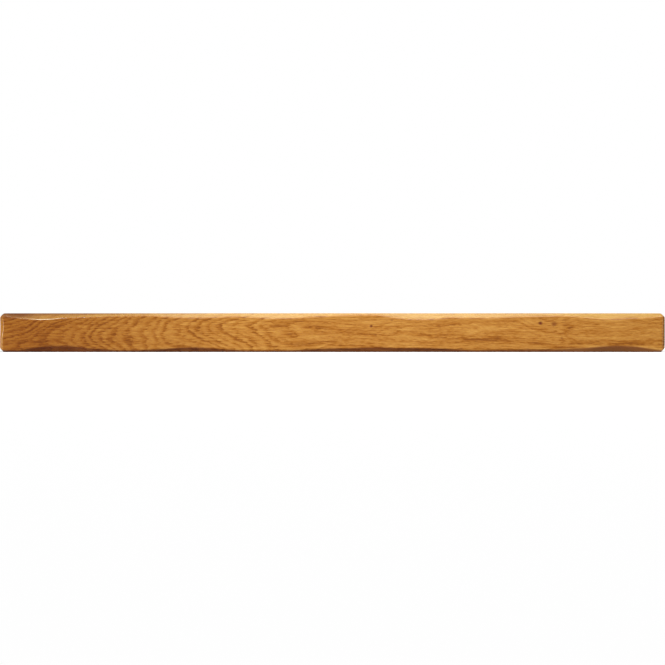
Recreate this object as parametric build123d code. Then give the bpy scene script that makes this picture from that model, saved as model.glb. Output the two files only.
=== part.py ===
from build123d import *
from collections import namedtuple
from math import sqrt
import os

# Oak mantel shelf: one sawn length of solid oak. Its front arrises are hand hewn
# in shallow scoops, and it hangs on steel rods that slide into blind bores in its back.
# X runs along the wall, Y from the front towards the wall, and Z up. The origin is
# under the middle of the shelf, on the surface it stands on. Sizes are in millimetres.

# The sawn stock
LENGTH = 1524.0
DEPTH = 140.0
HEIGHT = 89.0

# Flat chamfers that are planed before the arrises are hewn, measured on either face
TOP_CHAMFER = 3.5
BOTTOM_CHAMFER = 4.0
END_FRONT_CHAMFER = 6.0
END_TOP_CHAMFER = 9.5
END_BOTTOM_CHAMFER = 9.5

# Blind bores for the rods that hold the shelf off the wall. The middle rod is the
# longest, so that the shelf is started on it before it meets the other two.
ROD_DIAMETER = 12.0
ROD_CLEARANCE = 0.25
MIDDLE_ROD_DEPTH = 110.0
END_ROD_DEPTH = 100.0
ROD_TO_END = 162.0

# How far a cutter runs past the stock, so that no two faces lie in one plane
OVERRUN = 5.0

# A scoop is one stroke of the drawknife along an arris. Its station is where it is
# deepest, as a share of the way along the arris. Its run is how far it reaches along
# the flat chamfer, its width is what it takes off the front face at its deepest, and
# its splay is what it takes off the other face, over what it takes off the front.
Scoop = namedtuple("Scoop", "station run width splay")

TOP_SCOOPS = (
    Scoop(0.063, 178.0, 14.7, 0.90),
    Scoop(0.096, 334.0, 10.0, 1.10),
    Scoop(0.187, 316.0, 5.7, 1.00),
    Scoop(0.292, 210.0, 10.0, 1.05),
    Scoop(0.352, 168.0, 7.7, 0.90),
    Scoop(0.419, 200.0, 11.4, 1.15),
    Scoop(0.431, 274.0, 8.2, 1.00),
    Scoop(0.633, 190.0, 13.6, 0.95),
    Scoop(0.716, 292.0, 10.1, 1.10),
    Scoop(0.765, 356.0, 7.2, 1.00),
    Scoop(0.919, 180.0, 12.8, 0.90),
    Scoop(0.930, 276.0, 10.9, 1.05),
)
BOTTOM_SCOOPS = (
    Scoop(0.090, 186.0, 14.5, 0.90),
    Scoop(0.144, 82.0, 7.3, 1.05),
    Scoop(0.286, 238.0, 8.0, 1.10),
    Scoop(0.289, 154.0, 11.0, 1.00),
    Scoop(0.528, 262.0, 8.8, 1.10),
    Scoop(0.564, 158.0, 11.0, 0.95),
    Scoop(0.621, 264.0, 9.3, 1.10),
    Scoop(0.825, 306.0, 6.3, 1.00),
    Scoop(0.911, 254.0, 10.4, 0.90),
    Scoop(0.929, 178.0, 14.3, 1.05),
)
LEFT_END_SCOOPS = (Scoop(0.66, 46.0, 9.8, 1.00),)

# An arris is a sharp edge of the stock: where it starts, which way it runs and how
# far, and the two ways square off it, down the front face and across the other face
Arris = namedtuple("Arris", "start along reach front other")


def sawn_stock():
    """The squared length of oak, before any arris is worked."""
    return Box(LENGTH, DEPTH, HEIGHT, align=(Align.CENTER, Align.CENTER, Align.MIN))


def long_arris(z, down_the_front):
    """A front arris, from the left end of the stock to the right."""
    start = Vector(-LENGTH / 2, -DEPTH / 2, z)
    return Arris(start, Vector(1, 0, 0), LENGTH, down_the_front, Vector(0, 1, 0))


def upright_arris(side):
    """The front arris of one end, from its foot up. Side is -1 at the left, 1 at the right."""
    start = Vector(side * LENGTH / 2, -DEPTH / 2, 0)
    return Arris(start, Vector(0, 0, 1), HEIGHT, Vector(-side, 0, 0), Vector(0, 1, 0))


def return_arris(side, z, down_the_end):
    """An arris of one end that runs from the front face back to the wall."""
    start = Vector(side * LENGTH / 2, -DEPTH / 2, z)
    return Arris(start, Vector(0, 1, 0), DEPTH, down_the_end, Vector(-side, 0, 0))


def chamfer_cutter(arris, width):
    """The prism that takes an arris down to a flat chamfer of this width on both faces."""
    section = Plane(
        origin=arris.start - arris.along * OVERRUN,
        x_dir=arris.front,
        z_dir=arris.front.cross(arris.other),
    )
    corners = [(-OVERRUN, -OVERRUN), (width + OVERRUN, -OVERRUN), (-OVERRUN, width + OVERRUN)]
    triangle = section * make_face(Polyline(*corners, close=True))
    return extrude(triangle, amount=arris.reach + 2 * OVERRUN, dir=arris.along)


def scoop_cutter(arris, scoop, chamfer_width):
    """The wide cylinder whose rim cuts one scoop, so that its facet is hollow along the arris."""
    across = (arris.other * scoop.splay - arris.front).normalized()
    inward = (arris.other + arris.front * scoop.splay).normalized()
    bite = (scoop.width - chamfer_width) * arris.front.dot(inward)
    radius = (scoop.run / 2) ** 2 / (2 * bite) + bite / 2
    facet = scoop.width * sqrt(1 + scoop.splay**2)
    deepest = (
        arris.start
        + arris.along * (scoop.station * arris.reach)
        + arris.front * scoop.width
        + across * (facet / 2)
    )
    rim = Plane(origin=deepest - inward * radius, x_dir=arris.along, z_dir=across)
    return rim * Cylinder(radius, facet + 4 * OVERRUN)


def hewn(stock, arris, chamfer_width, scoops=()):
    """The stock with one arris chamfered, then hewn by its scoops."""
    stock -= chamfer_cutter(arris, chamfer_width)
    for scoop in scoops:
        stock -= scoop_cutter(arris, scoop, chamfer_width)
    return stock


def rod_bores():
    """The blind bores for the rods, at mid height: one in the middle and one near each end."""
    mouth = Plane(origin=(0, DEPTH / 2, HEIGHT / 2), x_dir=(1, 0, 0), z_dir=(0, -1, 0))
    end_rod = LENGTH / 2 - ROD_TO_END
    bores = []
    for x, depth in ((-end_rod, END_ROD_DEPTH), (0, MIDDLE_ROD_DEPTH), (end_rod, END_ROD_DEPTH)):
        drill = Cylinder(
            ROD_DIAMETER / 2 + ROD_CLEARANCE,
            depth + OVERRUN,
            align=(Align.CENTER, Align.CENTER, Align.MIN),
        )
        bores.append(mouth * Pos(x, 0, -OVERRUN) * drill)
    return bores


def oak_beam():
    """The finished shelf: hewn front arrises, chamfered ends, and bores in the back."""
    up, down = Vector(0, 0, 1), Vector(0, 0, -1)
    beam = sawn_stock()
    for side, scoops in ((-1, LEFT_END_SCOOPS), (1, ())):
        beam = hewn(beam, return_arris(side, HEIGHT, down), END_TOP_CHAMFER)
        beam = hewn(beam, return_arris(side, 0, up), END_BOTTOM_CHAMFER)
        beam = hewn(beam, upright_arris(side), END_FRONT_CHAMFER, scoops)
    beam = hewn(beam, long_arris(HEIGHT, down), TOP_CHAMFER, TOP_SCOOPS)
    beam = hewn(beam, long_arris(0, up), BOTTOM_CHAMFER, BOTTOM_SCOOPS)
    for bore in rod_bores():
        beam -= bore
    return beam


os.makedirs("parts", exist_ok=True)
export_step(oak_beam(), "parts/oak_beam.step")
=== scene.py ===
import math
from collections import namedtuple

import bmesh
import bpy
from mathutils import Matrix, Vector, noise


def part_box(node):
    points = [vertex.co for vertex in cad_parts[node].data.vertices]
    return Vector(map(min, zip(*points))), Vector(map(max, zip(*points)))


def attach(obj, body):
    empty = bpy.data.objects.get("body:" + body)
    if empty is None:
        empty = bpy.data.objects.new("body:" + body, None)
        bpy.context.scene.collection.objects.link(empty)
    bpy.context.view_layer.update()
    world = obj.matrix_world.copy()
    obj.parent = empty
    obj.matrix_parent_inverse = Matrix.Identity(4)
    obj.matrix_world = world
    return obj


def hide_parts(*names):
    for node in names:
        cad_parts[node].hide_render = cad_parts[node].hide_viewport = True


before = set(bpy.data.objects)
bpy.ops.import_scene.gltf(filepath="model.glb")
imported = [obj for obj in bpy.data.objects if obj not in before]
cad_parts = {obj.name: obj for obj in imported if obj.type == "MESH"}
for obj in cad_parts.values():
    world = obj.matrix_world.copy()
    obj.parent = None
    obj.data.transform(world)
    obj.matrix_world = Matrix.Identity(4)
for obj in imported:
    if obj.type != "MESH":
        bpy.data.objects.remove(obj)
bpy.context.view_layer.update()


# The timber: one sawn length of oak, 60 in long and 3.5 in high, planed on its faces.
# Its long front arrises are hewn with a drawknife, whose strokes leave shallow hollows
# that meet in softly worn ridges. Its end arrises are planed to flat chamfers.
MM = 0.001
foot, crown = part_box("oak_beam")
timber_size = crown - foot
middle = (foot + crown) / 2

# Flat chamfers planed before the hewing, as part of each arris that they run along
TOP_CHAMFER = 3.5 * MM
BOTTOM_CHAMFER = 4.0 * MM
END_FRONT_CHAMFER = 6.0 * MM
END_RETURN_CHAMFER = 9.5 * MM

# One stroke of the drawknife: where it is deepest, as a share of the way along the
# arris, how far it runs, what it takes off the front face, and off the other face
# over that. The sizes are in millimetres.
Stroke = namedtuple("Stroke", "station run width splay")
TOP_STROKES = (
    Stroke(0.063, 178.0, 14.7, 0.90),
    Stroke(0.096, 334.0, 10.0, 1.10),
    Stroke(0.187, 316.0, 5.7, 1.00),
    Stroke(0.292, 210.0, 10.0, 1.05),
    Stroke(0.352, 168.0, 7.7, 0.90),
    Stroke(0.419, 200.0, 11.4, 1.15),
    Stroke(0.431, 274.0, 8.2, 1.00),
    Stroke(0.633, 190.0, 13.6, 0.95),
    Stroke(0.716, 292.0, 10.1, 1.10),
    Stroke(0.765, 356.0, 7.2, 1.00),
    Stroke(0.919, 180.0, 12.8, 0.90),
    Stroke(0.930, 276.0, 10.9, 1.05),
)
BOTTOM_STROKES = (
    Stroke(0.090, 186.0, 14.5, 0.90),
    Stroke(0.144, 82.0, 7.3, 1.05),
    Stroke(0.286, 238.0, 8.0, 1.10),
    Stroke(0.289, 154.0, 11.0, 1.00),
    Stroke(0.528, 262.0, 8.8, 1.10),
    Stroke(0.564, 158.0, 11.0, 0.95),
    Stroke(0.621, 264.0, 9.3, 1.10),
    Stroke(0.825, 306.0, 6.3, 1.00),
    Stroke(0.911, 254.0, 10.4, 0.90),
    Stroke(0.929, 178.0, 14.3, 1.05),
)
LEFT_END_STROKES = (Stroke(0.66, 46.0, 9.8, 1.00),)

# The mesh is close beside the worked arrises, and open elsewhere along each axis
WORKED_BAND = 20.0 * MM
BACK_BAND = 2.5 * MM
CLOSE_STEP = 1.25 * MM
OPEN_STEPS = (3.5 * MM, 10.0 * MM, 3.5 * MM)

# Two directions that agree this closely are taken to be the same
SAME_WAY = 0.99

timber = bmesh.new()
bmesh.ops.create_cube(timber, size=1.0)
bmesh.ops.scale(timber, vec=timber_size, verts=timber.verts)
bmesh.ops.translate(timber, vec=middle, verts=timber.verts)

band_edges = (
    (0, foot.x + WORKED_BAND),
    (0, crown.x - WORKED_BAND),
    (1, foot.y + WORKED_BAND),
    (1, crown.y - BACK_BAND),
    (2, foot.z + WORKED_BAND),
    (2, crown.z - WORKED_BAND),
)
for axis, at in band_edges:
    square_on = Vector(int(i == axis) for i in range(3))
    whole = timber.verts[:] + timber.edges[:] + timber.faces[:]
    bmesh.ops.bisect_plane(timber, geom=whole, plane_co=square_on * at, plane_no=square_on)

for axis, open_step in enumerate(OPEN_STEPS):
    by_cuts = {}
    for edge in timber.edges:
        run = edge.verts[1].co - edge.verts[0].co
        if abs(run[axis]) > SAME_WAY * run.length:
            step = CLOSE_STEP if run.length < WORKED_BAND + CLOSE_STEP else open_step
            by_cuts.setdefault(round(run.length / step) - 1, []).append(edge)
    for cuts, edges in by_cuts.items():
        bmesh.ops.subdivide_edges(timber, edges=edges, cuts=cuts)

# How softly a facet meets the face beside it, and how far from an arris the hewing is felt
RIDGE_EASE = 0.45 * MM
HEWN_REACH = 40.0 * MM


def hew(start, along, front, other, chamfer, strokes=()):
    """Presses the wood beside one arris in to its chamfer and to the facet of each stroke."""
    reach = abs(timber_size.dot(along))
    for vert in timber.verts:
        offset = vert.co - start
        down, over = offset.dot(front), offset.dot(other)
        if down + over > HEWN_REACH:
            continue
        depths = [0.0, (chamfer - down - over) / 2]
        for stroke in strokes:
            share = (offset.dot(along) - stroke.station * reach) / (stroke.run / 2 * MM)
            width = stroke.width * MM
            width -= (width - chamfer) * share * share
            depths.append((width - down - over / stroke.splay) / (1 + 1 / stroke.splay))
        deepest = max(depths)
        worn = sum(math.exp((depth - deepest) / RIDGE_EASE) for depth in depths)
        vert.co += (front + other) * (deepest + RIDGE_EASE * math.log(worn))


right, inward, up = Vector((1, 0, 0)), Vector((0, 1, 0)), Vector((0, 0, 1))
for side, end_strokes in ((-1, LEFT_END_STROKES), (1, ())):
    end_foot = Vector((side * timber_size.x / 2, foot.y, foot.z))
    end_crown = Vector((side * timber_size.x / 2, foot.y, crown.z))
    hew(end_crown, inward, -up, right * -side, END_RETURN_CHAMFER)
    hew(end_foot, inward, up, right * -side, END_RETURN_CHAMFER)
    hew(end_foot, up, right * -side, inward, END_FRONT_CHAMFER, end_strokes)
hew(Vector((foot.x, foot.y, crown.z)), right, -up, inward, TOP_CHAMFER, TOP_STROKES)
hew(foot, right, up, inward, BOTTOM_CHAMFER, BOTTOM_STROKES)


# The rod bores: three blind holes drilled square into the back, at mid height. They take
# the steel rods in the wall that carry the shelf. The middle one is the deepest, so that
# the shelf is started on its rod alone.
BORE_RADIUS = 6.25 * MM
BORE_SIDES = 28
BORE_PATCH = 12.0 * MM
ROD_SPACING = 600.0 * MM
MIDDLE_BORE_DEPTH = 110.0 * MM
END_BORE_DEPTH = 100.0 * MM
BORES = (
    (-ROD_SPACING, END_BORE_DEPTH),
    (0.0, MIDDLE_BORE_DEPTH),
    (ROD_SPACING, END_BORE_DEPTH),
)


def drill(x, depth):
    """Opens the back face round a bore, and draws the bore's wall and floor into the wood."""
    mouth = Vector((x, crown.y, middle.z))
    patch = [
        face
        for face in timber.faces
        if face.normal.y > SAME_WAY
        and all(abs(c) < BORE_PATCH for c in face.calc_center_median() - mouth)
    ]
    inside = set(patch)
    rim = [
        edge
        for edge in {edge for face in patch for edge in face.edges}
        if not all(face in inside for face in edge.link_faces)
    ]
    bmesh.ops.delete(timber, geom=patch, context="FACES")
    circle = bmesh.ops.create_circle(
        timber,
        segments=BORE_SIDES,
        radius=BORE_RADIUS,
        matrix=Matrix.Translation(mouth) @ Matrix.Rotation(math.pi / 2, 4, "X"),
    )["verts"]
    lip = list({edge for vert in circle for edge in vert.link_edges})
    bmesh.ops.triangle_fill(timber, edges=rim + lip, use_beauty=True, normal=(0, 1, 0))
    wall = bmesh.ops.extrude_edge_only(timber, edges=lip)["geom"]
    end = [part for part in wall if isinstance(part, bmesh.types.BMVert)]
    bmesh.ops.translate(timber, vec=(0, -depth, 0), verts=end)
    ends = set(end)
    floor_rim = [edge for edge in timber.edges if ends.issuperset(edge.verts)]
    bmesh.ops.contextual_create(timber, geom=floor_rim)


timber.normal_update()
for x, depth in BORES:
    drill(x, depth)
bmesh.ops.recalc_face_normals(timber, faces=timber.faces)

# The back arrises and the bores' mouths are only rubbed over with sandpaper
RUBBED_ARRIS = 0.8 * MM
ON_THE_BACK = 0.01 * MM
SHARP_ANGLE = math.radians(60)
back_arrises = [
    edge
    for edge in timber.edges
    if min(vert.co.y for vert in edge.verts) > crown.y - ON_THE_BACK
    and edge.is_manifold
    and edge.calc_face_angle() > SHARP_ANGLE
]
bmesh.ops.bevel(
    timber,
    geom=back_arrises,
    offset=RUBBED_ARRIS,
    offset_type="OFFSET",
    segments=2,
    profile=0.5,
    affect="EDGES",
    material=-1,
)

# Planing and scraping by hand leave the faces a hair's breadth uneven, in long low waves
# that only dip below the sawn surface
WAVE_LENGTHS = Vector((130.0, 45.0, 34.0)) * MM
WAVE_DEPTH = 0.22 * MM
timber.normal_update()
for vert in timber.verts:
    if vert.co.y < crown.y - BACK_BAND:
        wave = noise.noise(Vector(c / length for c, length in zip(vert.co, WAVE_LENGTHS)))
        vert.co += vert.normal * (wave - 1) / 2 * WAVE_DEPTH

# An arris that is shallower than this shades softly
SOFT_ANGLE = math.radians(50)
for face in timber.faces:
    face.smooth = True
for edge in timber.edges:
    edge.smooth = not edge.is_manifold or edge.calc_face_angle() < SOFT_ANGLE

timber_mesh = bpy.data.meshes.new("hewn_oak_timber")
timber.to_mesh(timber_mesh)
timber.free()
oak_timber = bpy.data.objects.new("hewn_oak_timber", timber_mesh)
bpy.context.scene.collection.objects.link(oak_timber)
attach(oak_timber, "root")
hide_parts("oak_beam")


# The oak: flat-sawn and oiled, a warm honey brown that deepens towards the left end. The
# rings are worked out in the solid wood, so they run through every face. The front cuts
# them into a row of arches that point left, then into long straight grain.
def tone(hex_colour):
    """A colour written as an sRGB hex value, as the linear colour that the shader takes."""
    channels = [int(hex_colour[i:i + 2], 16) / 255 for i in (1, 3, 5)]
    linear = [c / 12.92 if c <= 0.04045 else ((c + 0.055) / 1.055) ** 2.4 for c in channels]
    return (*linear, 1.0)


def add(material, kind, inputs=(), **settings):
    """Adds one node with its settings, and gives its outputs. Its inputs are set or linked,
    in their order where they are listed, and otherwise by name or number."""
    made = material.node_tree.nodes.new(kind)
    for name, value in settings.items():
        setattr(made, name, value)
    for key, value in inputs.items() if isinstance(inputs, dict) else enumerate(inputs):
        if isinstance(value, bpy.types.NodeSocket):
            material.node_tree.links.new(value, made.inputs[key])
        else:
            made.inputs[key].default_value = value
    return made.outputs


oak = bpy.data.materials.new("oiled_flat_sawn_oak")
oak.use_nodes = True
oak.node_tree.nodes.clear()

in_wood = add(oak, "ShaderNodeTexCoord")
in_mm = add(
    oak, "ShaderNodeVectorMath", {0: in_wood["Object"], "Scale": 1 / MM}, operation="SCALE"
)[0]
axes = add(oak, "ShaderNodeSeparateXYZ", (in_mm,))
station = add(oak, "ShaderNodeMapRange", (axes["X"], foot.x / MM, crown.x / MM))[0]

# How the heart of the tree wanders along the beam, in millimetres at each station: its
# height over the foot of the beam, its depth behind the front, how steeply the rings
# fall away above and below it (1 is round), how boldly they show there, and how far the
# front has climbed through the growth. A run starts with the most that it may reach.
Run = namedtuple("Run", "most points")
HEART_RUNS = {
    "height": Run(100.0, (
        (0.0, 0.0), (0.04, 12.0), (0.075, 32.0), (0.12, 36.0), (0.22, 37.0), (0.26, 45.0),
        (0.295, 59.0), (0.36, 57.0), (0.42, 60.0), (0.50, 52.0), (0.62, 46.0), (0.75, 48.0),
        (0.84, 42.0), (1.0, 46.0),
    )),
    "depth": Run(100.0, (
        (0.0, 60.0), (0.13, 50.0), (0.35, 38.0), (0.6, 34.0), (1.0, 34.0),
    )),
    "above": Run(2.0, (
        (0.0, 1.2), (0.06, 1.2), (0.1, 1.3), (0.15, 1.2), (0.19, 0.8), (0.22, 0.6),
        (0.25, 0.7), (0.29, 1.4), (0.35, 1.55), (0.45, 1.55), (0.7, 1.35), (1.0, 1.3),
    )),
    "below": Run(2.0, (
        (0.0, 1.2), (0.08, 1.25), (0.14, 1.3), (0.18, 0.85), (0.22, 0.55), (0.26, 0.7),
        (0.30, 0.9), (0.36, 0.82), (0.42, 0.62), (0.47, 0.8), (0.52, 1.25), (0.7, 1.35),
        (1.0, 1.3),
    )),
    "figure": Run(1.4, (
        (0.0, 0.9), (0.06, 1.0), (0.1, 1.15), (0.15, 1.05), (0.19, 0.82), (0.25, 0.9),
        (0.4, 0.98), (0.52, 0.7), (1.0, 0.62),
    )),
    "climb": Run(200.0, (
        (0.0, 0.0), (0.055, 7.0), (0.09, 19.0), (0.12, 32.0), (0.15, 48.0), (0.19, 62.0),
        (0.37, 134.0), (0.435, 152.0), (0.52, 158.0), (1.0, 176.0),
    )),
}
heart = {}
for name, run in HEART_RUNS.items():
    share = add(oak, "ShaderNodeFloatCurve", {"Value": station})[0]
    line = share.node.mapping.curves[0]
    for i, (at, reached) in enumerate(run.points):
        if i < len(line.points):
            line.points[i].location = (at, reached / run.most)
        else:
            line.points.new(at, reached / run.most)
    share.node.mapping.update()
    heart[name] = add(oak, "ShaderNodeMath", (share, run.most), operation="MULTIPLY")[0]

# The rings wander: in long swells of the trunk, and in short ripples of the fibres
SWELL_LENGTHS = (150.0, 60.0, 42.0)
SWELL_HEIGHT = 14.0
RIPPLE_LENGTHS = (36.0, 15.0, 12.0)
RIPPLE_HEIGHT = 7.0
swings = []
for lengths, height in ((SWELL_LENGTHS, SWELL_HEIGHT), (RIPPLE_LENGTHS, RIPPLE_HEIGHT)):
    at = add(oak, "ShaderNodeVectorMath", (in_mm, lengths), operation="DIVIDE")[0]
    waves = add(oak, "ShaderNodeTexNoise", {"Vector": at, "Scale": 1.0, "Detail": 2.0})["Color"]
    swing = add(
        oak,
        "ShaderNodeVectorMath",
        (waves, (height,) * 3, (-height / 2,) * 3),
        operation="MULTIPLY_ADD",
    )[0]
    swings.append(swing)
wander = add(oak, "ShaderNodeVectorMath", swings, operation="ADD")[0]

# From the heart to this bit of wood, square to the trunk. The rings' shape above the
# heart blends into their shape below it, over a few millimetres at its height.
HEART_BLEND = 4.0
SQUARE_TO_TRUNK = (0.0, 1.0, 1.0)
front_y = foot.y / MM
behind_front = add(oak, "ShaderNodeMath", (axes["Y"], front_y), operation="SUBTRACT")[0]
to_heart_y = add(oak, "ShaderNodeMath", (behind_front, heart["depth"]), operation="SUBTRACT")[0]
over_heart = add(oak, "ShaderNodeMath", (axes["Z"], heart["height"]), operation="SUBTRACT")[0]
is_above = add(
    oak,
    "ShaderNodeMapRange",
    (over_heart, -HEART_BLEND, HEART_BLEND),
    interpolation_type="SMOOTHSTEP",
)[0]
steepness = add(oak, "ShaderNodeMix", {0: is_above, 2: heart["below"], 3: heart["above"]})[0]
to_heart_z = add(oak, "ShaderNodeMath", (over_heart, steepness), operation="MULTIPLY")[0]
to_heart = add(oak, "ShaderNodeCombineXYZ", (0.0, to_heart_y, to_heart_z))[0]
wandering = add(oak, "ShaderNodeVectorMath", (to_heart, wander), operation="ADD")[0]
across = add(oak, "ShaderNodeVectorMath", (wandering, SQUARE_TO_TRUNK), operation="MULTIPLY")[0]
radius = add(oak, "ShaderNodeVectorMath", (across,), operation="LENGTH")["Value"]
grown = add(oak, "ShaderNodeMath", (radius, heart["depth"]), operation="SUBTRACT")[0]
growth = add(oak, "ShaderNodeMath", (grown, heart["climb"]), operation="SUBTRACT")[0]

# Marks on the front: the dark stubs of pin knots, the swirls where the rings are pushed
# aside by them, and stains where the early wood lies dense. Four of the stains are painted
# light and shade instead: a dark band low on the front and a darker right end, as painted
# shade, and a pale patch low at the right and a paler left end, as painted light. Each has
# its place along the beam and over its foot, how far it reaches along and across the grain,
# how far it pushes the rings aside, and how dark a stain and a knot it is. A stain below zero
# is a pale place. The sizes are in millimetres.
Mark = namedtuple("Mark", "x z length height push stain knot")
MARKS = (
    Mark(89, 59.6, 3.6, 3.4, 0, 0, 1.0),
    Mark(100, 39, 3, 3, 0, 0, 0.35),
    Mark(136, 73.3, 3, 3, 0, 0, 0.35),
    Mark(476, 66.2, 5.2, 4.5, 0, 0, 1.0),
    Mark(507, 64.2, 7, 6.5, 0, 0, 0.55),
    Mark(525, 32.1, 3, 3, 0, 0, 0.4),
    Mark(495, 61, 62, 26, 17, 0, 0),
    Mark(525, 32, 22, 11, 8, 0, 0),
    Mark(180, 38, 50, 12, 7, 0, 0),
    Mark(90, 58, 30, 9, 5, 0, 0),
    Mark(-312, 59.6, 16, 11, 0, 0.4, 0),
    Mark(-218, 25.3, 14, 13, 0, 0.45, 0),
    Mark(-180, 23, 15, 12, 0, 0.45, 0),
    Mark(-128, 59.6, 18, 7, 0, 0.55, 0),
    Mark(-92, 71, 46, 5, 0, 0.4, 0),
    Mark(-98, 41, 24, 9, 0, 0.45, 0),
    Mark(-40, 20, 70, 6, 0, 0.6, 0),
    Mark(252, 39, 60, 3.5, 0, 0.5, 0),
    Mark(343, 30.5, 62, 6, 0, 0.6, 0),
    Mark(332, 74.5, 26, 4, 0, 0.5, 0),
    Mark(640, 19, 90, 9, 0, 0.5, 0),
    Mark(430, 24, 300, 8, 0, 0.3, 0),
    Mark(-636, 62, 26, 13, 0, 0.4, 0),
    Mark(-690, 21, 50, 8, 0, 0.6, 0),
    Mark(-662, 42, 18, 17, 0, 0.4, 0),
    Mark(477, 51.6, 15, 4, 0, 0.5, 0),
    Mark(497, 44.5, 17, 4, 0, 0.6, 0),
    Mark(519, 42.5, 17, 4, 0, 0.6, 0),
    Mark(538, 48, 11, 6, 0, 0.6, 0),
    Mark(546, 58, 10, 9, 0, 0.45, 0),
    Mark(534, 66, 10, 12, 0, 0.35, 0),
    Mark(482, 21, 28, 6, 0, 0.4, 0),
    Mark(330, 24, 38, 7, 0, 0.4, 0),
    # painted shade: a dark band where the shaded lower facet would show
    Mark(555, 10.4, 62, 3.4, 0, 1.1, 0),
    Mark(668, 17, 38, 5, 0, 0.6, 0),
    # painted light: a pale patch low on the right
    Mark(640, 3, 110, 14, 0, -2.4, 0),
    Mark(626, 69, 46, 9, 0, -0.3, 0),
    Mark(712, 76, 16, 4, 0, -0.5, 0),
    # painted shade: the right end darkened
    Mark(762, 40, 8, 70, 0, 0.8, 0),
    # painted light: the left end paled
    Mark(-762, 44, 9, 80, 0, -1.2, 0),
)

# How deep a mark goes into the wood, how far it strays with the grain, as a share of the
# rings' wander, and at which shares of its reach it is gone and at its full strength
MARK_DEPTH = 60.0
MARK_STRAY = 0.3
MARK_GONE = 1.4
MARK_FULL = 0.1


def nearness(origin, place, reach):
    """How near this bit of wood is to a place: 1 there, and fading to 0 past the reach."""
    away = add(oak, "ShaderNodeVectorMath", (origin, place), operation="SUBTRACT")[0]
    away = add(oak, "ShaderNodeVectorMath", (away, reach), operation="DIVIDE")[0]
    away = add(oak, "ShaderNodeVectorMath", (away,), operation="LENGTH")["Value"]
    return add(
        oak,
        "ShaderNodeMapRange",
        (away, MARK_GONE, MARK_FULL),
        interpolation_type="SMOOTHSTEP",
    )[0]


# The knots stay in their places, and the other marks stray with the grain
stray = add(oak, "ShaderNodeVectorMath", {0: wander, "Scale": MARK_STRAY}, operation="SCALE")[0]
strayed = add(oak, "ShaderNodeVectorMath", (in_mm, stray), operation="ADD")[0]
marked = {"push": growth, "stain": 0.0, "knot": 0.0}
for mark in MARKS:
    origin = in_mm if mark.knot else strayed
    near = nearness(origin, (mark.x, front_y, mark.z), (mark.length, MARK_DEPTH, mark.height))
    for kind, so_far in marked.items():
        amount = getattr(mark, kind)
        if amount:
            inputs = (near, amount, so_far)
            marked[kind] = add(oak, "ShaderNodeMath", inputs, operation="MULTIPLY_ADD")[0]

# Pores and fibres run along the trunk and break up the edge of every ring. A pore is
# about 0.3 mm wide, which is too fine to show, so they are drawn 2 mm wide.
PORE_LENGTHS = (12.0, 1.9, 1.9)
STREAK_LENGTHS = (60.0, 2.4, 2.4)
BLOTCH_LENGTHS = (110.0, 26.0, 15.0)
FIBRE_ROUGHNESS = 0.6
FINGER_HEIGHT = 4.6
NOISE_MEAN = 0.5
pores, streaks, blotches = (
    add(
        oak,
        "ShaderNodeTexNoise",
        {
            "Vector": add(oak, "ShaderNodeVectorMath", (in_mm, lengths), operation="DIVIDE")[0],
            "Scale": 1.0,
            "Detail": 2.0,
            "Roughness": FIBRE_ROUGHNESS,
        },
    )[0]
    for lengths in (PORE_LENGTHS, STREAK_LENGTHS, BLOTCH_LENGTHS)
)
fingers = add(oak, "ShaderNodeMath", (pores, NOISE_MEAN), operation="SUBTRACT")[0]
growth = add(
    oak, "ShaderNodeMath", (fingers, FINGER_HEIGHT, marked["push"]), operation="MULTIPLY_ADD"
)[0]

# One ring: an open-pored dark band of early wood, then dense pale late wood. The oak has
# grown fast, with rings of about 7 mm. No two are alike in width, which varies over a few
# rings, or in strength.
RING_WIDTH = 7.4
UNEVEN_SCALE = 0.37
UNEVEN_RINGS = 1.5
WEAKEST_BAND = 0.45
BAND_STOPS = ((0.0, 0.12), (0.16, 1.0), (0.36, 0.85), (0.68, 0.0), (1.0, 0.12))
rings = add(oak, "ShaderNodeMath", (growth, RING_WIDTH), operation="DIVIDE")[0]
uneven = add(
    oak,
    "ShaderNodeTexNoise",
    {"W": rings, "Scale": UNEVEN_SCALE, "Detail": 1.0},
    noise_dimensions="1D",
)[0]
rings = add(oak, "ShaderNodeMath", (uneven, UNEVEN_RINGS, rings), operation="MULTIPLY_ADD")[0]
in_ring = add(oak, "ShaderNodeMath", (rings,), operation="FRACT")[0]
ring_number = add(oak, "ShaderNodeMath", (rings,), operation="FLOOR")[0]
strength = add(oak, "ShaderNodeTexWhiteNoise", {"W": ring_number}, noise_dimensions="1D")["Value"]
strength = add(oak, "ShaderNodeMapRange", (strength, 0.0, 1.0, WEAKEST_BAND, 1.0))[0]
band = add(oak, "ShaderNodeValToRGB", (in_ring,))[0]
band.node.color_ramp.interpolation = "EASE"

# The bands are fainter on what faces up, and the pores break them up. The last pair is
# how strong a band is between the pores and on them.
FACING_UP = (0.2, 0.7)
BANDS_ON_TOP = 0.5
PORES_IN_BAND = (0.36, 0.62, 0.55, 1.2)
facing = add(oak, "ShaderNodeSeparateXYZ", (in_wood["Normal"],))
faces_up = add(oak, "ShaderNodeMapRange", (facing["Z"], *FACING_UP))[0]
faded = add(oak, "ShaderNodeMapRange", (faces_up, 0.0, 1.0, 1.0, BANDS_ON_TOP))[0]
pore_lines = add(oak, "ShaderNodeMapRange", (pores, *PORES_IN_BAND))[0]
early_wood = strength
for factor in (heart["figure"], faded, band, pore_lines):
    early_wood = add(oak, "ShaderNodeMath", (early_wood, factor), operation="MULTIPLY")[0]

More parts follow.
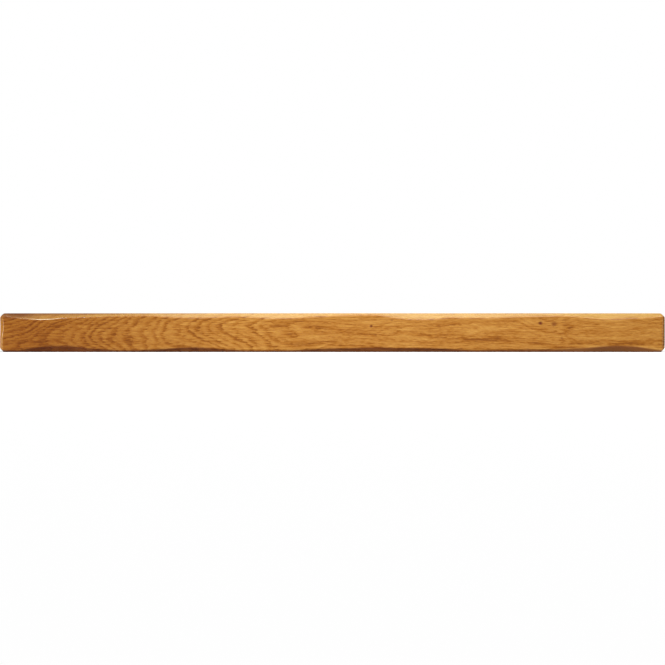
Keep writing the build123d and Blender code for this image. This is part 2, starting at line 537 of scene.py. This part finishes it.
# How dark the wood is here, as a share. It starts from the ring, and each pattern adds to
# it: from which value of the pattern on, up to which value, and how much at the most.
BAND_SHARE = 0.62
PALEST_RING = -0.12
PATTERN_SHARES = (
    (pores, 0.38, 0.64, 0.34),
    (streaks, 0.36, 0.66, 0.36),
    (blotches, 0.36, 0.66, 0.20),
)
dark = add(oak, "ShaderNodeMath", (early_wood, BAND_SHARE, PALEST_RING), operation="MULTIPLY_ADD")[0]
for pattern, low, high, share in PATTERN_SHARES:
    part = add(oak, "ShaderNodeMapRange", (pattern, low, high, 0.0, share))[0]
    dark = add(oak, "ShaderNodeMath", (dark, part), operation="ADD")[0]

# A mark's stain, painted light and painted shade follow the streaks: the last pair is how
# strong they are between the streaks and on them
STAIN_IN_STREAKS = (0.34, 0.62, 0.25, 0.9)
stain_here = add(oak, "ShaderNodeMapRange", (streaks, *STAIN_IN_STREAKS))[0]
dark = add(
    oak, "ShaderNodeMath", (marked["stain"], stain_here, dark), operation="MULTIPLY_ADD"
)[0]

# The knife leaves the upper facets smoother than the plane leaves the level top, so their
# grain shows less. Where they catch the light their grain is also evened out to a pale tone,
# as painted glare.
FACING_LEVEL = (0.9, 0.97)
FACET_CALM = 0.45
FACET_DARK = 0.24
not_top = add(oak, "ShaderNodeMapRange", (facing["Z"], *FACING_LEVEL, FACET_CALM, 0.0))[0]
calm = add(oak, "ShaderNodeMath", (faces_up, not_top), operation="MULTIPLY")[0]
dark = add(oak, "ShaderNodeMix", {0: calm, 2: dark, 3: FACET_DARK})[0]

# The wood's own colour, from the palest late wood to the darkest early wood
WOOD_STOPS = ((0.0, "#e3a54e"), (0.36, "#cd8934"), (0.72, "#b46c0e"), (1.0, "#995600"))
wood = add(oak, "ShaderNodeValToRGB", (dark,))[0]
band_colours = [(at, (shade, shade, shade, 1.0)) for at, shade in BAND_STOPS]
wood_colours = [(at, tone(shade)) for at, shade in WOOD_STOPS]
for ramp, stops in ((band.node.color_ramp, band_colours), (wood.node.color_ramp, wood_colours)):
    for at, colour in stops[1:-1]:
        ramp.elements.new(at)
    for element, (at, colour) in zip(ramp.elements, stops):
        element.position = at
        element.color = colour

# Towards the left end the wood is toned browner and darker. Wood that faces down is toned
# redder and darker, as painted shade, and what faces up is toned less red, as painted light.
# The end grain has soaked up more oil. Two spots at the left of the top arris are darkened,
# as painted shade.
BROWNER_UP_TO = 0.36
FACING_DOWN = (-0.2, -0.7)
FACING_AN_END = (0.8, 0.95)
PAINTED_SHADE_PLACES = (
    ((-700.0, front_y + 8.0, 92.0), (360.0, 14.0, 8.5)),
    ((-722.0, front_y + 8.0, 88.0), (64.0, 16.0, 13.0)),
)
KNOT_BROWN = "#702600"
to_right = add(oak, "ShaderNodeMapRange", (station, 0.0, BROWNER_UP_TO))[0]
browner = add(oak, "ShaderNodeMath", (1.0, to_right), operation="SUBTRACT")[0]
# Painted shade: what faces down is toned redder and darker
painted_shade_down = add(oak, "ShaderNodeMapRange", (facing["Z"], *FACING_DOWN))[0]
sideways = add(oak, "ShaderNodeMath", (facing["X"],), operation="ABSOLUTE")[0]
end_grain = add(oak, "ShaderNodeMapRange", (sideways, *FACING_AN_END))[0]
# Painted shade: two spots at the left of the top arris are darkened
painted_shade_spots = 0.0
for place, reach in PAINTED_SHADE_PLACES:
    near = nearness(in_mm, place, reach)
    painted_shade_spots = add(oak, "ShaderNodeMath", (painted_shade_spots, near), operation="MAXIMUM")[0]
for amount, tint in (
    (browner, "#d6c29e"),
    # painted light: what faces up is toned less red
    (faces_up, "#e8ffff"),
    (painted_shade_down, "#ffdbf0"),
    (end_grain, "#cec088"),
    (painted_shade_spots, "#ae8c34"),
):
    wood = add(
        oak,
        "ShaderNodeMix",
        {0: amount, 6: wood, 7: tone(tint)},
        data_type="RGBA",
        blend_type="MULTIPLY",
    )[2]
wood = add(
    oak, "ShaderNodeMix", {0: marked["knot"], 6: wood, 7: tone(KNOT_BROWN)}, data_type="RGBA"
)[2]

# The oil leaves a satin film, given here as its roughness. It is a little duller where the
# pores drink it, duller still on the top, and dullest on the spots of painted shade at the
# left of the top arris. It is brightest on the worn ridges, where the surface turns between
# the front and a facet.
OIL_IOR = 1.5
FRONT_FILM = (0.26, 0.31)
TOP_FILM = 0.42
SHADE_SPOT_FILM = 0.85
BURNISHED_FILM = 0.2
LEAVING_THE_FRONT = (-0.97, -0.93)
REACHING_A_FACET = (-0.84, -0.79)
off_front = add(oak, "ShaderNodeMapRange", (facing["Y"], *LEAVING_THE_FRONT, 0.0, 1.0))[0]
off_facet = add(oak, "ShaderNodeMapRange", (facing["Y"], *REACHING_A_FACET, 1.0, 0.0))[0]
burnished = add(oak, "ShaderNodeMath", (off_front, off_facet), operation="MULTIPLY")[0]
film = add(oak, "ShaderNodeMapRange", (dark, 0.0, 1.0, *FRONT_FILM))[0]
for place, roughness in (
    (faces_up, TOP_FILM),
    (painted_shade_spots, SHADE_SPOT_FILM),
    (burnished, BURNISHED_FILM),
):
    film = add(oak, "ShaderNodeMix", {0: place, 2: film, 3: roughness})[0]

# In three places at the two ends a pale painted highlight lies on a ridge, as a glint.
# Each has its place, its reach and how strong it is.
GLINT_COLOUR = "#f2d9ae"
PAINTED_GLINT_SPOTS = (
    ((-660.0, front_y, 75.0), (34.0, 30.0, 12.0), 1.0),
    ((-754.0, front_y, 38.0), (12.0, 30.0, 42.0), 0.5),
    ((756.0, front_y, 44.5), (12.0, 30.0, 70.0), 0.35),
)
for place, reach, glint_strength in PAINTED_GLINT_SPOTS:
    glint = nearness(in_mm, place, reach)
    for factor in (glint_strength, burnished):
        glint = add(oak, "ShaderNodeMath", (glint, factor), operation="MULTIPLY")[0]
    wood = add(oak, "ShaderNodeMix", {0: glint, 6: wood, 7: tone(GLINT_COLOUR)}, data_type="RGBA")[2]

# The open pores are felt as fine hollows
PORE_DEPTH = 0.12 * MM
PORE_RELIEF = 0.5
relief = add(
    oak,
    "ShaderNodeBump",
    {"Strength": PORE_RELIEF, "Distance": PORE_DEPTH, "Height": dark},
    invert=True,
)[0]
surface = add(
    oak,
    "ShaderNodeBsdfPrincipled",
    {"Base Color": wood, "Roughness": film, "IOR": OIL_IOR, "Normal": relief},
)[0]
add(oak, "ShaderNodeOutputMaterial", {"Surface": surface})
oak_timber.data.materials.append(oak)


# The studio: a wide sweep of white paper, under a room that is white overhead and behind
# the beam and dim on the camera's side. It is lit softly from above and from the front.
FLOOR_REACH = 12.0
floor_mesh = bpy.data.meshes.new("studio_floor")
floor_net = bmesh.new()
bmesh.ops.create_grid(floor_net, x_segments=1, y_segments=1, size=FLOOR_REACH)
floor_net.to_mesh(floor_mesh)
floor_net.free()
studio_floor = bpy.data.objects.new("studio_floor", floor_mesh)
bpy.context.scene.collection.objects.link(studio_floor)

# The paper glows for the camera alone, which keeps it white as far as it is seen. The glow
# fades out round the beam, where the lamps are enough, so that its shadow shows. Bounced
# light finds the paper grey, so that it doesn't brighten the underside.
WHITE = "#ffffff"
PAPER_WHITE = "#f0f0f0"
PAPER_GREY = "#585858"
PAPER_IN_SHEEN = 0.4
PAPER_GLOW = 0.72
SHADOW_GLOW = 0.12
GLOW_REACH = (0.45, 1.6)
GLOW_SHAPE = (0.55, 1.0, 1.0)
paper = bpy.data.materials.new("white_paper_sweep")
paper.use_nodes = True
paper.node_tree.nodes.clear()
rays = add(paper, "ShaderNodeLightPath")
shown = add(
    paper, "ShaderNodeMath", (rays["Is Glossy Ray"], PAPER_IN_SHEEN), operation="MULTIPLY"
)[0]
for way_seen in ("Is Camera Ray", "Is Transmission Ray"):
    shown = add(paper, "ShaderNodeMath", (shown, rays[way_seen]), operation="MAXIMUM")[0]
paper_colour = add(
    paper,
    "ShaderNodeMix",
    {0: shown, 6: tone(PAPER_GREY), 7: tone(PAPER_WHITE)},
    data_type="RGBA",
)[2]
matt = add(paper, "ShaderNodeBsdfDiffuse", {"Color": paper_colour})[0]
away = add(paper, "ShaderNodeTexCoord")["Object"]
away = add(paper, "ShaderNodeVectorMath", (away, GLOW_SHAPE), operation="MULTIPLY")[0]
away = add(paper, "ShaderNodeVectorMath", (away,), operation="LENGTH")["Value"]
glow = add(paper, "ShaderNodeMapRange", (away, *GLOW_REACH, SHADOW_GLOW, PAPER_GLOW))[0]
glow = add(paper, "ShaderNodeMath", (rays["Is Camera Ray"], glow), operation="MULTIPLY")[0]
lit = add(paper, "ShaderNodeEmission", {"Color": tone(WHITE), "Strength": glow})[0]
both = add(paper, "ShaderNodeAddShader", (matt, lit))[0]
add(paper, "ShaderNodeOutputMaterial", {"Surface": both})
studio_floor.data.materials.append(paper)

# The air of the room. The camera sees it white, which is a strength of 1. The wood's sheen
# sees it white towards the back, pale overhead, and dim on the camera's side.
ROOM_LIGHT = 0.30
ROOM_SHEEN = 0.08
BACK_SHEEN = 1.0
CEILING_SHEEN = 0.8
SEEN_STRENGTH = 1.0
TOWARDS_BACK = (0.1, 0.6)
OVERHEAD = (0.75, 0.95)
world = bpy.data.worlds.new("studio_air")
bpy.context.scene.world = world
world.use_nodes = True
world.node_tree.nodes.clear()
rays = add(world, "ShaderNodeLightPath")
way = add(world, "ShaderNodeTexCoord")["Generated"]
way = add(world, "ShaderNodeSeparateXYZ", (way,))
sheen = add(world, "ShaderNodeMapRange", (way["Y"], *TOWARDS_BACK, ROOM_SHEEN, BACK_SHEEN))[0]
ceiling = add(world, "ShaderNodeMapRange", (way["Z"], *OVERHEAD, 0.0, CEILING_SHEEN))[0]
sheen = add(world, "ShaderNodeMath", (sheen, ceiling), operation="MAXIMUM")[0]
shown = add(
    world,
    "ShaderNodeMath",
    (rays["Is Camera Ray"], rays["Is Transmission Ray"]),
    operation="MAXIMUM",
)[0]
air = add(world, "ShaderNodeMix", {0: rays["Is Glossy Ray"], 2: ROOM_LIGHT, 3: sheen})[0]
air = add(world, "ShaderNodeMix", {0: shown, 2: air, 3: SEEN_STRENGTH})[0]
backdrop = add(world, "ShaderNodeBackground", {"Color": tone(WHITE), "Strength": air})[0]
add(world, "ShaderNodeOutputWorld", {"Surface": backdrop})

# A soft box hangs over the beam, and the key light stands in front. A small lamp at the
# left puts a gleam on the ridge there, which a painted highlight brightens. The strip at the
# left, the soft box behind and the card off the right end only fill, so the wood's sheen
# doesn't show them.
Lamp = namedtuple("Lamp", "name width height watts place aim shines")
LAMPS = (
    Lamp("overhead_soft_box", 1.35, 0.8, 12.2, (0.10, 0.0, 1.25), (0.10, 0.0, 0.0), True),
    Lamp("key_soft_box", 1.8, 1.0, 33.0, (0.20, -1.7, 1.15), (0.1, -0.07, 0.05), True),
    Lamp("left_strip_light", 0.3, 0.5, 16.5, (-2.2, -0.42, 0.28), (-0.7, 0.0, 0.05), False),
    Lamp("small_lamp", 0.14, 0.14, 2.5, (-0.92, -1.02, 1.23), (-0.67, -0.06, 0.08), True),
    Lamp("back_soft_box", 1.4, 1.0, 16.0, (1.3, 2.0, 0.7), (0.2, 0.07, 0.05), False),
    Lamp("right_fill_card", 0.8, 0.6, 9.0, (2.6, 1.4, 0.5), (0.76, 0.0, 0.05), False),
)
for lamp in LAMPS:
    light = bpy.data.lights.new(lamp.name, "AREA")
    light.shape = "RECTANGLE"
    light.size = lamp.width
    light.size_y = lamp.height
    light.energy = lamp.watts
    shining = Vector(lamp.aim) - Vector(lamp.place)
    holder = bpy.data.objects.new(lamp.name, light)
    holder.location = lamp.place
    holder.rotation_euler = shining.to_track_quat("-Z", "Y").to_euler()
    holder.visible_camera = False
    holder.visible_glossy = lamp.shines
    bpy.context.scene.collection.objects.link(holder)

# A long lens looks at the front square on, from 4.2 m. The photo is 665 px wide, and the
# whole length of the beam's front would take up a little more than that.
LENS_LENGTH = 100.0
SENSOR_WIDTH = 36.0
PHOTO_WIDTH = 665
PHOTO_BEAM_WIDTH = 666.2
AIM_RIGHT_OF_MIDDLE = 0.3 * MM
AIM_OVER_MIDDLE = 0.3 * MM
view_width = timber_size.x * PHOTO_WIDTH / PHOTO_BEAM_WIDTH
camera_data = bpy.data.cameras.new("camera")
camera_data.lens = LENS_LENGTH
camera_data.sensor_width = SENSOR_WIDTH
camera = bpy.data.objects.new("camera", camera_data)
camera.location = (
    AIM_RIGHT_OF_MIDDLE,
    foot.y - view_width * LENS_LENGTH / SENSOR_WIDTH,
    middle.z + AIM_OVER_MIDDLE,
)
camera.rotation_euler = (math.radians(90), 0, 0)
bpy.context.scene.collection.objects.link(camera)
bpy.context.scene.camera = camera
bpy.context.scene.view_settings.view_transform = "Standard"
